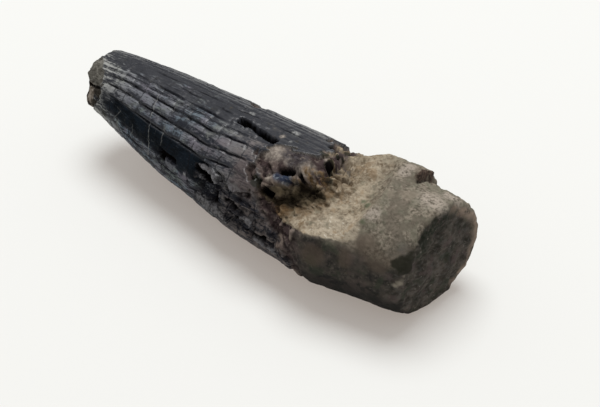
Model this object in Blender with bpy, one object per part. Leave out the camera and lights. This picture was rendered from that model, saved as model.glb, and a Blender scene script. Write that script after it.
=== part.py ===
"""A fossil tooth lying on its side: fluted crown, broken-out middle and root end, all one stone.

Metres, +Z up.  X runs along the tooth, from the broken tip at -X to the broken root end at +X.
Angles are in degrees round the tooth's length: 0 faces +Y, 90 is the top, 180 faces -Y and
270 is underneath.  The belly rests on z = 0.
"""

from math import atan2, cos, degrees, exp, hypot, pi, radians, sin

import bmesh
import bpy
from mathutils import Matrix, Vector, noise

MM = 0.001

# --- Driving dimensions, in millimetres ------------------------------------------------------

LENGTH = 66.0
TIP = -LENGTH / 2
END = LENGTH / 2

# Sections at equal steps from tip to root end:
# centre across, centre height, half width, half height.
SECTIONS = (
    (0.0, 12.1, 5.0, 5.0),
    (0.0, 11.4, 6.1, 6.1),
    (0.0, 10.65, 7.15, 7.15),
    (0.0, 9.9, 8.0, 8.0),
    (0.0, 9.45, 8.55, 8.5),
    (-0.2, 9.2, 9.25, 9.0),
    (-0.45, 9.0, 9.95, 9.1),
    (-0.65, 9.05, 10.45, 9.2),
    (-0.9, 9.15, 10.6, 9.3),
    (-1.2, 9.25, 11.1, 9.5),
    (-0.7, 9.4, 10.45, 9.6),
    (-0.2, 9.4, 9.85, 9.5),
    (0.0, 9.35, 9.5, 9.1),
)
STEP = LENGTH / (len(SECTIONS) - 1)

# Where the box of the whole tooth has its middle, taken off so that it stands at the origin.
MIDDLE_X = -0.2
MIDDLE_Y = -1.0

# Grooves between the flutes: angle at mid crown and depth.
GROOVES = (
    (8, 0.25), (18, 0.25), (28, 0.3), (38, 0.25), (47, 0.3), (56, 0.3), (65, 0.3), (74, 0.3),
    (83, 0.35), (93, 0.35), (104, 0.5), (120, 0.6), (134, 0.6), (147, 0.55), (160, 0.1),
    (171, 0.35), (185, 0.4), (199, 0.4), (212, 0.35), (226, 0.4), (240, 0.35), (254, 0.4),
    (268, 0.35), (282, 0.4), (296, 0.35), (308, 0.3), (320, 0.35), (332, 0.3), (344, 0.3),
    (356, 0.3),
)
GROOVE_SHARE = 0.2

# The grooves are shallower at the tip, and run out where the enamel does.
GROOVE_AT_TIP = 0.4
GROOVE_DEEPENS_BY = 7.0
GROOVE_FADES_FROM = 2.0
GROOVE_GONE_AT = 12.0

# Enamel: how thick it stands, how sharply it steps down, and where its root-side edge and its
# tip edge lie round the tooth.
ENAMEL = 0.4
ROOT_STEP = 0.4
TIP_STEP = 0.3
ENAMEL_EDGE = (
    (0, 7.5), (40, 9.0), (57, 9.6), (66, 10.4), (75, 11.2), (84, 11.0), (95, 9.0), (103, 6.0),
    (110, 4.0), (118, 3.0), (132, 3.5), (145, 5.0), (160, 7.0), (174, 9.5), (187, 13.0),
    (202, 13.0), (230, 9.0), (270, 6.0), (315, 8.5), (360, 7.5),
)
TIP_EDGE = (
    (0, -32.0), (95, -32.4), (108, -30.6), (126, -29.7), (142, -29.2), (152, -29.8),
    (165, -30.3), (180, -30.2), (200, -30.7), (260, -30.5), (320, -31.5), (360, -32.0),
)

# The root's outside comes back to the section's full size between these places.
ROOT_FROM = 12.0
ROOT_TO = 18.0

# The fractured ends slant: how far each stands past its plane, round the tooth.
TIP_SLANT = (
    (0, 0.6), (45, 0.6), (90, 0.9), (125, 1.1), (145, 1.35), (158, 0.4), (168, 0.2),
    (178, 0.2), (192, 0.4), (225, 0.3), (300, 0.3), (360, 0.6),
)
END_SLANT = (
    (0, 0.7), (45, 0.3), (90, -0.2), (135, -0.2), (180, -0.2), (215, -0.7), (245, -1.1),
    (275, -0.6), (315, 0.4), (360, 0.7),
)
SLANT_REACH = 9.0

# How far the fractured faces stand in and out, and the size of their unevenness as a share of
# their half width.
TIP_FACE = 0.6
END_FACE = 0.7
FACE_LUMPS = 0.7

# The broken-out hollow behind the crown: a flat cut that faces up and to -Y, where the wall at
# its crown side stands round the tooth, and how long and high that wall is.
HOLLOW_WALL = (
    (0, 10.5), (57, 10.8), (74, 12.0), (90, 12.6), (103, 12.0), (114, 11.3), (122, 10.8),
    (132, 10.2), (140, 9.4), (148, 8.4), (155, 8.0), (165, 7.2), (360, 7.2),
)
WALL_LENGTH = (
    (0, 1.9), (74, 2.2), (90, 2.7), (103, 3.0), (122, 3.0), (132, 2.6), (147, 1.9), (360, 1.9),
)
WALL_HEIGHT = 5.0
HOLLOW_FACES = 108.0
HOLLOW_FLOOR = 6.1

# The hollow's floor slopes up a little along its length, then up to the root at its end:
# from, to and height.
FLOOR_SLOPES = ((8.0, 22.0, 0.9), (21.0, 28.6, 6.0))

# Clumps left at the foot of the wall: place, angle, height and radius.
RUBBLE = (
    (15.0, 109, 1.5, 2.2),
    (14.2, 122, 0.6, 1.5),
    (16.2, 98, 0.8, 2.2),
    (12.4, 140, 0.4, 1.6),
)

# A flat cut reaches round the tooth until its plane lies this far off the outside's slope.
FLAT_CUT_REACH = 0.3

# A flat chip off the root end, low on its +Y side.
CHIP_FACES = 312.0
CHIP_FLOOR = 8.7
CHIP_FROM = 26.0
CHIP_SLOPE = 1.2

# The slab of outer root that stands above the hollow, and its broken upright end.
SLAB_FROM = 15.0
SLAB_RAMP = 5.0
SLAB_TO = 25.2
SLAB_BREAK = 0.7
SLAB_MIDDLE = 40.0
SLAB_HALF = 30.0
SLAB_SIDE = 12.0
SLAB_HEIGHT = 1.5

# Mounds of mineral between the crown and the hollow, and the last one low on the bare tip:
# place, angle, height and radius.
MOUNDS = (
    (6.5, 108, 0.8, 2.8),
    (9.2, 110, 0.7, 2.4),
    (7.6, 131, 0.7, 1.5),
    (11.8, 101, 0.6, 2.2),
    (5.5, 126, 0.5, 2.0),
    (13.3, 90, 0.5, 1.2),
    (4.0, 150, 0.5, 2.4),
    (-32.6, 195, 1.1, 2.0),
)

# Broken-stone roughness: its height in the hollow and where the enamel is gone, and its size.
FLOOR_ROUGH = 0.35
BARE_ROUGH = 0.28
ROUGH_SIZE = 3.4

# Rings along the side: from, to and how many, closest in the broken middle.
TIP_CORNER = 1.5
END_CORNER = 0.9
RINGS = (
    (TIP + TIP_CORNER, -29.7, 2),
    (-29.1, 1.4, 11),
    (2.4, 24.3, 22),
    (25.2, 25.9, 2),
    (27.2, END - END_CORNER, 4),
)

# The lines along the tooth leave the grooves for even spacing between these places.
EVEN_FROM = 2.0
EVEN_TO = 8.0

# Slots and pits: place, angle, length, width, depth, and turn from the tooth's length towards
# greater angles.
SLOTS = (
    (0.6, 96.0, 7.8, 1.15, 2.0, 4.0),
    (-12.4, 170.5, 3.0, 1.4, 1.1, -20.0),
    (-3.8, 160.0, 3.9, 1.0, 1.4, 8.0),
    (-1.2, 176.0, 1.0, 2.4, 1.0, 0.0),
    (2.0, 172.5, 2.7, 0.8, 1.1, 0.0),
    (5.0, 181.0, 2.8, 1.0, 1.2, -12.0),
    (8.0, 145.0, 2.4, 1.6, 1.8, 10.0),
    (9.7, 120.5, 2.6, 1.1, 1.5, -22.0),
    (-5.2, 49.0, 3.0, 5.0, 0.6, 0.0),
    (-31.6, 159.0, 4.0, 0.8, 0.9, -12.0),
)

# A slot's cutter narrows inward and at its ends, and is a little uneven.
SLOT_INWARD = 0.55
SLOT_ENDS = 0.7
SLOT_UNEVEN = 0.15


def blend(low, high, value):
    """0 at low, 1 at high, and an S curve between."""
    share = min(max((value - low) / (high - low), 0.0), 1.0)
    return share * share * (3.0 - 2.0 * share)


def round_the_tooth(points, angle):
    """A value that is given at a few angles, read at any angle."""
    for (a, value_a), (b, value_b) in zip(points, points[1:]):
        if a <= angle <= b:
            return value_a + (value_b - value_a) * blend(a, b, angle)
    return points[-1][1]


def turned(angle, middle):
    """How far an angle lies from another, the short way round."""
    return (angle - middle + 180.0) % 360.0 - 180.0


def section(x):
    """The section at x, on a smooth curve through SECTIONS."""
    place = min(max((x - TIP) / STEP, 0.0), len(SECTIONS) - 1.001)
    index = int(place)
    t = place - index
    last = len(SECTIONS) - 1
    near = [SECTIONS[min(max(index + k, 0), last)] for k in (-1, 0, 1, 2)]
    return [
        0.5 * (2 * b + (c - a) * t + (2 * a - 5 * b + 4 * c - d) * t * t
               + (3 * b - a - 3 * c + d) * t ** 3)
        for a, b, c, d in zip(*near)
    ]


def rough(x, angle, radius, seed):
    """Broken-stone roughness, from -1 to 1, the same on every run."""
    place = Vector((x, radius * cos(radians(angle)), radius * sin(radians(angle))))
    return noise.fractal(place / ROUGH_SIZE + Vector((seed, 0, 0)), 1.0, 2.0, 2)


def groove_depth(x, angle):
    """How deep the nearest groove is at x."""
    nearest = min(GROOVES, key=lambda entry: abs(turned(angle, entry[0])))
    deepens = blend(TIP, TIP + GROOVE_DEEPENS_BY, x)
    fade = GROOVE_AT_TIP + (1.0 - GROOVE_AT_TIP) * deepens
    return nearest[1] * fade * (1.0 - blend(GROOVE_FADES_FROM, GROOVE_GONE_AT, x))


def heaps(listed, x, angle, radius):
    """Height of rounded heaps, each given by its place, angle, height and radius."""
    height = 0.0
    for at, middle, tall, wide in listed:
        across = radians(turned(angle, middle)) * radius
        height += tall * exp(-((x - at) ** 2 + across ** 2) / wide ** 2)
    return height


def hollow_floor(x, angle, radius):
    """How far the hollow's floor, or the wall at its crown side, lies from the centre."""
    wall = round_the_tooth(HOLLOW_WALL, angle)
    wall_end = wall + round_the_tooth(WALL_LENGTH, angle)
    floor = HOLLOW_FLOOR + WALL_HEIGHT * (1.0 - blend(wall, wall_end, x))
    floor += sum(height * blend(low, high, x) for low, high, height in FLOOR_SLOPES)
    return floor + heaps(RUBBLE, x, angle, radius) + FLOOR_ROUGH * rough(x, angle, radius, 7.0)


def surface(x, angle, groove):
    """Distance from the section's centre to the outside of the tooth, in millimetres.

    groove is 1 at the bottom of a groove and 0 on a flute's crest.
    """
    _, _, half_width, half_height = section(x)
    turn = radians(angle)
    radius = half_width * half_height / hypot(half_height * cos(turn), half_width * sin(turn))

    edge = round_the_tooth(ENAMEL_EDGE, angle)
    tip_edge = round_the_tooth(TIP_EDGE, angle)
    enamel = 1.0 - blend(edge - ROOT_STEP, edge + ROOT_STEP, x)
    enamel *= blend(tip_edge - TIP_STEP, tip_edge + TIP_STEP, x)
    bare = 1.0 - enamel
    radius -= ENAMEL * bare * (1.0 - blend(ROOT_FROM, ROOT_TO, x))
    radius -= groove * groove_depth(x, angle) * enamel
    radius += BARE_ROUGH * bare * rough(x, angle, radius, 0.0)
    radius += heaps(MOUNDS, x, angle, radius)

    slab = blend(SLAB_FROM, SLAB_FROM + SLAB_RAMP, x)
    slab *= 1.0 - blend(SLAB_TO, SLAB_TO + SLAB_BREAK, x)
    slab *= 1.0 - blend(SLAB_HALF - SLAB_SIDE, SLAB_HALF, abs(turned(angle, SLAB_MIDDLE)))
    radius += SLAB_HEIGHT * slab

    chip = cos(radians(turned(angle, CHIP_FACES)))
    if chip > FLAT_CUT_REACH:
        radius = min(radius, (CHIP_FLOOR + CHIP_SLOPE * blend(END, CHIP_FROM, x)) / chip)

    facing = cos(radians(turned(angle, HOLLOW_FACES)))
    if facing > FLAT_CUT_REACH:
        radius = min(radius, hollow_floor(x, angle, radius) / facing)
    return radius


def place(x, angle, reach, groove):
    """A point of the tooth in metres: reach is 0 on its centre line and 1 on its outside."""
    across, height, _, _ = section(x)
    radius = reach * surface(x, angle, groove)
    y = across + radius * cos(radians(angle))
    z = max(height + radius * sin(radians(angle)), 0.0)
    slant = round_the_tooth(END_SLANT, angle) * blend(END - SLANT_REACH, END, x)
    slant -= round_the_tooth(TIP_SLANT, angle) * blend(TIP + SLANT_REACH, TIP, x)
    return Vector((x + reach * slant - MIDDLE_X, y - MIDDLE_Y, z)) * MM


def profile():
    """From the tip's centre, out and along the side, and in to the root end's centre."""
    side = [
        (first + (last - first) * k / (count - 1), 1.0)
        for first, last, count in RINGS
        for k in range(count)
    ]
    tip = [(TIP, 0.0), (TIP, 0.5), (TIP + 0.05 * TIP_CORNER, 0.75), (TIP + 0.4 * TIP_CORNER, 0.92)]
    end = [(END - 0.3 * END_CORNER, 0.96), (END, 0.88), (END, 0.6), (END, 0.3), (END, 0.0)]
    return tip + side + end


def line_angle(line, x):
    """Angle of one line along the tooth, three to a flute, and 1 if it lies in a groove.

    On the crown two lines hug each groove; over the root the three stand evenly apart.
    """
    flute_number, place_in_flute = divmod(line, 3)
    start = GROOVES[flute_number][0]
    gap = (GROOVES[(flute_number + 1) % len(GROOVES)][0] - start) % 360
    hugging = (0.0, GROOVE_SHARE, 1.0 - GROOVE_SHARE)[place_in_flute]
    share = hugging + blend(EVEN_FROM, EVEN_TO, x) * (place_in_flute / 3 - hugging)
    return (start + gap * share) % 360, float(place_in_flute == 0)


def end_face(x, reach, angle):
    """The fractured faces of the tip and of the root end: how far they stand in or out."""
    y = reach * cos(radians(angle))
    z = reach * sin(radians(angle))
    inner = 1.0 - blend(0.9, 1.0, reach)
    tall, seed = (TIP_FACE, 3.0) if x < 0 else (END_FACE, 9.0)
    return inner * tall * noise.noise(Vector((y / FACE_LUMPS, z / FACE_LUMPS, seed)))


def tooth_mesh():
    """A drum with a ring for each profile point, whose points then take the tooth's form."""
    lines = 3 * len(GROOVES)
    drum = bmesh.new()
    points = [drum.verts.new((x, reach, 0.0)) for x, reach in profile()]
    edges = [drum.edges.new(pair) for pair in zip(points, points[1:])]
    bmesh.ops.spin(drum, geom=points + edges, cent=(0, 0, 0), axis=(1, 0, 0),
                   angle=2 * pi, steps=lines, use_merge=True)
    bmesh.ops.remove_doubles(drum, verts=drum.verts, dist=0.0001)
    for point in drum.verts:
        x, reach = point.co.x, hypot(point.co.y, point.co.z)
        line = round(degrees(atan2(point.co.z, point.co.y)) % 360 / 360 * lines)
        angle, groove = line_angle(line % lines, x)
        end = x < TIP + 0.5 * TIP_CORNER or x > END - 0.5 * END_CORNER
        shift = end_face(x, reach, angle) if end else 0.0
        point.co = place(x, angle, reach, groove) + Vector((shift * MM, 0, 0))
    bmesh.ops.recalc_face_normals(drum, faces=drum.faces)
    return drum


def cutter(number, x, angle, length, width, depth, turn):
    """A slot or pit: a rounded wedge that stands in the surface, along the tooth."""
    wedge = bmesh.new()
    bmesh.ops.create_cube(wedge, size=1.0)
    long_edges = [e for e in wedge.edges if abs(e.verts[0].co.x - e.verts[1].co.x) > 0.5]
    bmesh.ops.subdivide_edges(wedge, edges=long_edges, cuts=2)
    for point in wedge.verts:
        inward = SLOT_INWARD if point.co.z < 0 else 1.0
        at_end = SLOT_ENDS if abs(point.co.x) > 0.4 else 1.0
        uneven = SLOT_UNEVEN * noise.noise(3.0 * point.co + Vector((number, 0, 0)))
        point.co = Vector((
            point.co.x * length * inward,
            point.co.y * width * inward * at_end,
            point.co.z * depth * 2.0 + uneven,
        ))
    radius = surface(x, angle, 0.5)
    across, height, _, _ = section(x)
    centre = Vector((x - MIDDLE_X, across - MIDDLE_Y + radius * cos(radians(angle)),
                     height + radius * sin(radians(angle))))
    stand = (Matrix.Translation(centre) @ Matrix.Rotation(radians(angle - 90), 4, "X")
             @ Matrix.Rotation(radians(-turn), 4, "Z"))
    bmesh.ops.transform(wedge, matrix=Matrix.Scale(MM, 4) @ stand, verts=wedge.verts)
    bmesh.ops.recalc_face_normals(wedge, faces=wedge.faces)
    mesh = bpy.data.meshes.new("slot_%d" % number)
    wedge.to_mesh(mesh)
    wedge.free()
    cut = bpy.data.objects.new("slot_%d" % number, mesh)
    cut.hide_render = True
    cut.display_type = "WIRE"
    return cut


def fossil_material():
    """Dark, slightly glossy fossil enamel and stone."""
    material = bpy.data.materials.new("fossil")
    material.use_nodes = True
    shader = material.node_tree.nodes["Principled BSDF"]
    shader.inputs["Base Color"].default_value = (0.075, 0.075, 0.075, 1.0)
    shader.inputs["Roughness"].default_value = 0.55
    shader.inputs["Metallic"].default_value = 0.0
    return material


for old in list(bpy.data.objects):
    bpy.data.objects.remove(old)

tooth_parts = bpy.data.collections.new("fossil_tooth")
cutters = bpy.data.collections.new("cutters")
for collection in (tooth_parts, cutters):
    bpy.context.scene.collection.children.link(collection)

form = tooth_mesh()
tooth_data = bpy.data.meshes.new("tooth")
form.to_mesh(tooth_data)
form.free()
tooth = bpy.data.objects.new("tooth", tooth_data)
tooth.data.materials.append(fossil_material())
tooth_parts.objects.link(tooth)

for number, slot in enumerate(SLOTS):
    cutters.objects.link(cutter(number, *slot))

cut = tooth.modifiers.new("slots", "BOOLEAN")
cut.operation = "DIFFERENCE"
cut.operand_type = "COLLECTION"
cut.collection = cutters
cut.solver = "EXACT"
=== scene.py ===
"""A fossil tooth lying on a pale table: fluted enamel crown, broken-out middle and root end.

X runs along the tooth, from the broken tip at -X to the broken root end at +X, and angles go
round its length in degrees: 0 faces +Y, 90 is the top, 180 faces -Y and 270 is underneath.
Sizes are in millimetres until the mesh is made, and in metres from then on.
"""

from math import radians, tau

import bmesh
import bpy
import numpy as np
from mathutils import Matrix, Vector, noise


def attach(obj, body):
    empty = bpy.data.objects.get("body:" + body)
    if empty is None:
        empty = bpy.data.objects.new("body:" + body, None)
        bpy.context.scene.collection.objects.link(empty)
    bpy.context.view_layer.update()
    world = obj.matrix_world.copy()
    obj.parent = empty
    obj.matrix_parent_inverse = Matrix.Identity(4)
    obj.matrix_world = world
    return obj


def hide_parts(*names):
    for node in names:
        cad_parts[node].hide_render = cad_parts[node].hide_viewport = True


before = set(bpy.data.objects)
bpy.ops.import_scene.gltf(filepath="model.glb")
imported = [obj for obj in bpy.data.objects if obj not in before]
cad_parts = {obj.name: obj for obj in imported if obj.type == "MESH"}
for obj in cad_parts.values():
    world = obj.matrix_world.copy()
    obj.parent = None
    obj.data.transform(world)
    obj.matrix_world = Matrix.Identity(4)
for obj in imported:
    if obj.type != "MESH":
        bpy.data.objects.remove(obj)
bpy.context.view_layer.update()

# --- The tooth's blank ------------------------------------------------------------------------
# One dinosaur tooth, turned to stone in the ground.  It grew as one piece, so it is one closed
# skin: a sheet of small squares, rolled into a tube, closed at its two ends and drawn out to
# sections taken at equal steps along the tooth.

MM = 0.001
TIP = -33.0
END = 33.0
STEP = 5.5

# Where the whole tooth has its middle, taken off so that it lies centred on the origin.
MIDDLE_X = -0.2
MIDDLE_Y = -1.0

# Sections: centre across, centre height, half width, half height.
SECTIONS = np.array((
    (0.0, 12.1, 5.0, 5.0),
    (0.0, 11.4, 6.1, 6.1),
    (0.0, 10.65, 7.15, 7.15),
    (0.0, 9.9, 8.0, 8.0),
    (0.0, 9.45, 8.55, 8.5),
    (-0.2, 9.2, 9.25, 9.0),
    (-0.45, 9.0, 9.95, 9.1),
    (-0.65, 9.05, 10.45, 9.2),
    (-0.9, 9.15, 10.6, 9.3),
    (-1.2, 9.25, 11.1, 9.5),
    (-0.7, 9.4, 10.45, 9.6),
    (-0.2, 9.4, 9.85, 9.5),
    (0.0, 9.35, 9.5, 9.1),
))

# Runs of rings: from x, to x, from reach, to reach (0 on the centre line, 1 outside), count.
RINGS = (
    (TIP, TIP, 0.0, 0.75, 11),
    (TIP + 0.1, TIP + 1.1, 0.83, 0.98, 4),
    (TIP + 1.5, -3.0, 1.0, 1.0, 112),
    (-2.8, 27.0, 1.0, 1.0, 150),
    (27.3, END - 0.8, 1.0, 1.0, 18),
    (END - 0.5, END - 0.05, 0.985, 0.93, 4),
    (END, END, 0.9, 0.0, 26),
)

# Lines round each ring, and how much closer they stand on the front, which has the most detail.
LINES = 300
CROWDING = 0.35
CROWDED_AT = 0.62

# Two seeds lie this far apart in the noise, and the middles of two shards fall in cells of their
# own once they are spread by this much.
SEED_STEP = 13.7
SHARD_SPREAD = 9.1

# Farther off, in millimetres, than anything on the tooth.
FAR_OFF = 99.0


def blend(low, high, value):
    """0 at low, 1 at high, and an S curve between."""
    share = np.clip((value - low) / (high - low), 0.0, 1.0)
    return share * share * (3.0 - 2.0 * share)


def beyond(edge, soft, value):
    """0 below an edge and 1 above it, going over from soft before it to soft after it."""
    return blend(edge - soft, edge + soft, value)


def band(low, high, soft, value):
    """1 between two values and 0 outside them."""
    return beyond(low, soft, value) * (1.0 - beyond(high, soft, value))


def turned(angle, middle):
    """How far an angle lies from another, the short way round."""
    return (angle - middle + 180.0) % 360.0 - 180.0


def round_the_tooth(points, angle):
    """A value given at a few angles, read at every angle."""
    angles, values = zip(*points)
    return np.interp(angle % 360.0, angles, values)


def section(x):
    """Centre across, centre height, half width and half height at each x, on a smooth curve."""
    last = len(SECTIONS) - 1
    place = np.clip((x - TIP) / STEP, 0.0, last - 0.001)
    index = place.astype(int)
    t = (place - index)[:, None]
    a, b, c, d = (SECTIONS[np.clip(index + k, 0, last)] for k in (-1, 0, 1, 2))
    curve = 2 * b + (c - a) * t + (2 * a - 5 * b + 4 * c - d) * t**2
    return (0.5 * (curve + (3 * b - a - 3 * c + d) * t**3)).T


def lumps(spots, size, seed, octaves=3):
    """Unevenness of about -1 to 1 at each spot, with features of that size."""
    return np.array([noise.fractal(p, 1.0, 2.0, octaves)
                     for p in (spots / size + SEED_STEP * seed).tolist()])


def shards(spots, size, seed):
    """Angular pieces: how far in from its piece's edge each spot lies, and a number per piece."""
    inside, own = [], []
    for spot in (spots / size + SEED_STEP * seed).tolist():
        reach, middles = noise.voronoi(spot)
        inside.append(reach[1] - reach[0])
        own.append(noise.cell(middles[0] * SHARD_SPREAD))
    return np.array(inside), np.array(own)


sheet = bmesh.new()
ring_x = np.concatenate([np.linspace(run[0], run[1], run[4]) for run in RINGS])
ring_reach = np.concatenate([np.linspace(run[2], run[3], run[4]) for run in RINGS])
bmesh.ops.create_grid(sheet, x_segments=len(ring_x) - 1, y_segments=LINES, size=0.5)
skin = bpy.data.meshes.new("fossil_tooth")
sheet.to_mesh(skin)
sheet.free()

corner = np.empty(len(skin.vertices) * 3)
skin.vertices.foreach_get("co", corner)
corner = corner.reshape(-1, 3)
ring = np.rint((corner[:, 0] + 0.5) * (len(ring_x) - 1)).astype(int)
share = np.rint((corner[:, 1] + 0.5) * LINES) / LINES

# Each spot's place along the tooth, its reach out from the middle, its angle, and how far out
# the tooth's plain surface lies there.
crowd = np.sin(tau * (share - CROWDED_AT + 0.5)) - np.sin(tau * (0.5 - CROWDED_AT))
angle = (270.0 + 360.0 * (share + CROWDING / tau * crowd)) % 360.0
x = ring_x[ring]
reach = ring_reach[ring]
across, height, half_width, half_height = section(x)
turn = np.radians(angle)
outside = half_width * half_height
outside /= np.hypot(half_height * np.cos(turn), half_width * np.sin(turn))
spots = np.stack([x, reach * outside * np.cos(turn), reach * outside * np.sin(turn)], axis=1)

# --- The crown --------------------------------------------------------------------------------
# A thin coat of dark enamel over dentine.  It grew in flutes, ribs that run from tip to root,
# and after burial it cracked across them into short blocks.  It has flaked off at the tip, and
# its root-side edge is broken.

ENAMEL = 0.4

# Where the enamel ends at the root side and at the tip: angle and place.
ENAMEL_EDGE = (
    (0, 7.5), (40, 9.0), (57, 9.6), (66, 10.4), (75, 11.2), (84, 11.0), (95, 9.0), (103, 6.0),
    (110, 4.0), (118, 3.0), (132, 3.5), (145, 5.0), (160, 7.0), (174, 9.5), (187, 13.0),
    (202, 13.0), (230, 9.0), (270, 6.0), (315, 8.5), (360, 7.5),
)
TIP_EDGE = (
    (0, -32.0), (95, -32.4), (108, -30.6), (126, -29.7), (142, -29.2), (152, -29.8),
    (165, -30.3), (180, -30.2), (200, -30.7), (260, -30.5), (320, -31.5), (360, -32.0),
)
EDGE_SOFT = 0.2

# The grooves between ribs: angle at mid crown, depth, half width, and where each starts and ends.
GROOVES = np.array((
    (8, 0.14, 0.2, -32, 7), (18, 0.12, 0.2, -32, 6), (28, 0.12, 0.2, -32, 8),
    (38, 0.1, 0.18, -30, 7), (47, 0.08, 0.16, -28, 6), (55, 0.08, 0.15, -27, 3),
    (62, 0.08, 0.15, -26, 2), (69, 0.08, 0.15, -29, 4), (76, 0.09, 0.16, -26, 3),
    (84, 0.16, 0.15, -28, 13), (93, 0.15, 0.16, -21, -4), (98, 0.08, 0.14, -27, -8),
    (104, 0.24, 0.16, -24, -4), (111, 0.1, 0.14, -29, 1), (120, 0.34, 0.17, -31, 1),
    (134, 0.42, 0.19, -31, 3), (147, 0.34, 0.2, -24, 1), (171, 0.15, 0.2, -20, 4),
    (185, 0.3, 0.26, -32, 9), (199, 0.34, 0.28, -32, 9), (212, 0.34, 0.28, -32, 8),
    (226, 0.36, 0.3, -32, 7), (240, 0.32, 0.28, -31, 6), (254, 0.36, 0.3, -32, 6),
    (268, 0.34, 0.28, -32, 5), (282, 0.36, 0.3, -31, 5), (296, 0.32, 0.28, -32, 6),
    (308, 0.28, 0.25, -32, 7), (320, 0.28, 0.26, -32, 8), (332, 0.22, 0.25, -32, 8),
    (344, 0.2, 0.22, -32, 7), (356, 0.16, 0.2, -32, 7),
))

# This one gapes at mid crown, and all are shallower at the tip.
WIDE_GROOVE = 134
SHALLOW_AT_TIP = 0.66

# A flake gone from the enamel: place, angle, half length and half width.
FLAKE = (-5.2, 49.0, 1.5, 2.6)

# Where the enamel has cracked across, and the share of ribs that each crack passes by.
BREAKS = (-28.4, -26.2, -24.0, -20.6, -17.5, -14.2, -12.2, -10.6, -7.6, -4.6, -2.0, 1.0, 3.8, 7.0)
UNCRACKED = 0.25
CRACK_WIDTH = 0.16
CRACK_DEPTH = 0.1

# How much higher one side of a rib is than the other, and how far blocks, streaks and swellings
# stand out.
RIB_TILT = 0.18
BLOCK_LIFT = 0.16
STREAK_LIFT = 0.035
SWELL_LIFT = 0.05

# A flat facet worn on the front: from place, to place, from angle, to angle.
FACET = (-27.2, -3.5, 149.0, 172.0)


def draw(*numbers):
    """One fixed number from 0 to 1 for each set of whole numbers, the same at every run."""
    total = sum(number * factor for number, factor in zip(numbers, (127.1, 311.7, 74.7)))
    return np.sin(total * 1.37 + 3.1) * 43758.5453 % 1.0


def from_angle(middle):
    """How far each spot lies from an angle, measured round the tooth."""
    return radians(1) * turned(angle, middle) * outside


enamel_edge = round_the_tooth(ENAMEL_EDGE, angle)
tip_edge = round_the_tooth(TIP_EDGE, angle)
rough = lumps(spots, 1.5, 2)
bends = [rough, lumps(spots, 1.3, 21, 2), lumps(spots, 1.3, 22, 2)]
warped = spots + 0.32 * np.stack(bends, axis=1)
plate_in, plate_own = shards(warped * (0.5, 1.0, 1.0), 1.8, 1)
jag = 1.6 * (plate_own - 0.5) + 0.6 * rough
enamel = 1.0 - beyond(enamel_edge, EDGE_SOFT, x + jag)
enamel *= beyond(tip_edge, EDGE_SOFT, x + 0.6 * jag)
flake = np.hypot((x - FLAKE[0]) / FLAKE[2], from_angle(FLAKE[1]) / FLAKE[3])
enamel *= blend(0.6, 1.1, flake + 0.6 * rough)

# Which block between two cross cracks each spot is in, and how far it lies past the nearer one.
breaking = x + 0.9 * lumps(spots * (0.3, 1.0, 1.0), 4.0, 3, 2)
block = np.searchsorted(BREAKS, breaking)
beside = np.abs(breaking[:, None] - np.array(BREAKS)).argmin(axis=1)
past_break = breaking - np.array(BREAKS)[beside]

# The ribs lean a few degrees round the tooth at the tip and before the break, and sway between.
lean = 5.0 * blend(-24.0, -31.0, x) - 6.0 * blend(-6.0, 2.0, x)
number = np.arange(len(GROOVES))[:, None]
sway = 0.35 * np.sin(x / 5.1 + 6.0 * draw(number)) + 1.0 * (draw(block) - 0.5)

# How far each spot lies past each groove, and how deep and wide each groove is there.
past = turned(angle, GROOVES[:, :1] + lean + sway)
aside = radians(1) * past * outside
depth = GROOVES[:, 1:2] * (0.65 + 0.35 * np.sin(x / 1.3 + 6.0 * draw(number, 7)))
depth *= blend(GROOVES[:, 3:4] - 1.0, GROOVES[:, 3:4] + 2.0, x)
depth *= 1.0 - blend(GROOVES[:, 4:] - 2.5, GROOVES[:, 4:] + 1.0, x)
depth *= SHALLOW_AT_TIP + (1.0 - SHALLOW_AT_TIP) * blend(-29.0, -17.0, x)
wide = GROOVES[:, 2:3] * (1.0 + 0.8 * (GROOVES[:, :1] == WIDE_GROOVE) * band(-13, -5, 2, x))
cuts = depth * np.exp(-(np.abs(aside) / wide) ** 2)
groove = cuts.max(axis=0)
nearest = np.abs(past).argmin(axis=0)
past_groove = np.take_along_axis(aside, nearest[None], axis=0)[0]
groove_depth = np.take_along_axis(depth, nearest[None], axis=0)[0]

# Which rib each spot is on, and how far across it, from 0 to 1.
past[past < 0.0] += 360.0
rib = past.argmin(axis=0)
rib_share = past.min(axis=0) / (past.min(axis=0) + (360.0 - past.max(axis=0)))

facet = band(FACET[0], FACET[1], 1.6, x + 1.2 * rough)
facet *= beyond(FACET[2], 1.5, angle)
facet *= 1.0 - beyond(FACET[3], 5.0, angle + 5.0 * rough)
top = 1.0 - blend(98.0, 112.0, np.abs(turned(angle, 0.0)))
ribbed = (1.0 - facet) * (1.0 - 0.6 * top)
streak = lumps(spots * (0.22, 1.0, 1.0), 0.5, 4)
crack = np.exp(-(past_break / CRACK_WIDTH) ** 2) * (draw(rib, beside) > UNCRACKED)
relief = RIB_TILT * (rib_share - 0.5) * ribbed
relief += BLOCK_LIFT * (draw(rib, block) - 0.5) * ribbed - CRACK_DEPTH * crack * ribbed
relief += STREAK_LIFT * streak * (1.0 - 0.8 * facet) + SWELL_LIFT * lumps(spots, 1.1, 5) - groove
crown = relief * enamel * (0.3 + 0.7 * blend(TIP, TIP + 7.0, x))

# --- The crags --------------------------------------------------------------------------------
# Where the crown ends its enamel has broken into plates, and crags of dark mineral stand over
# the break, with a recess beneath them.

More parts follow.
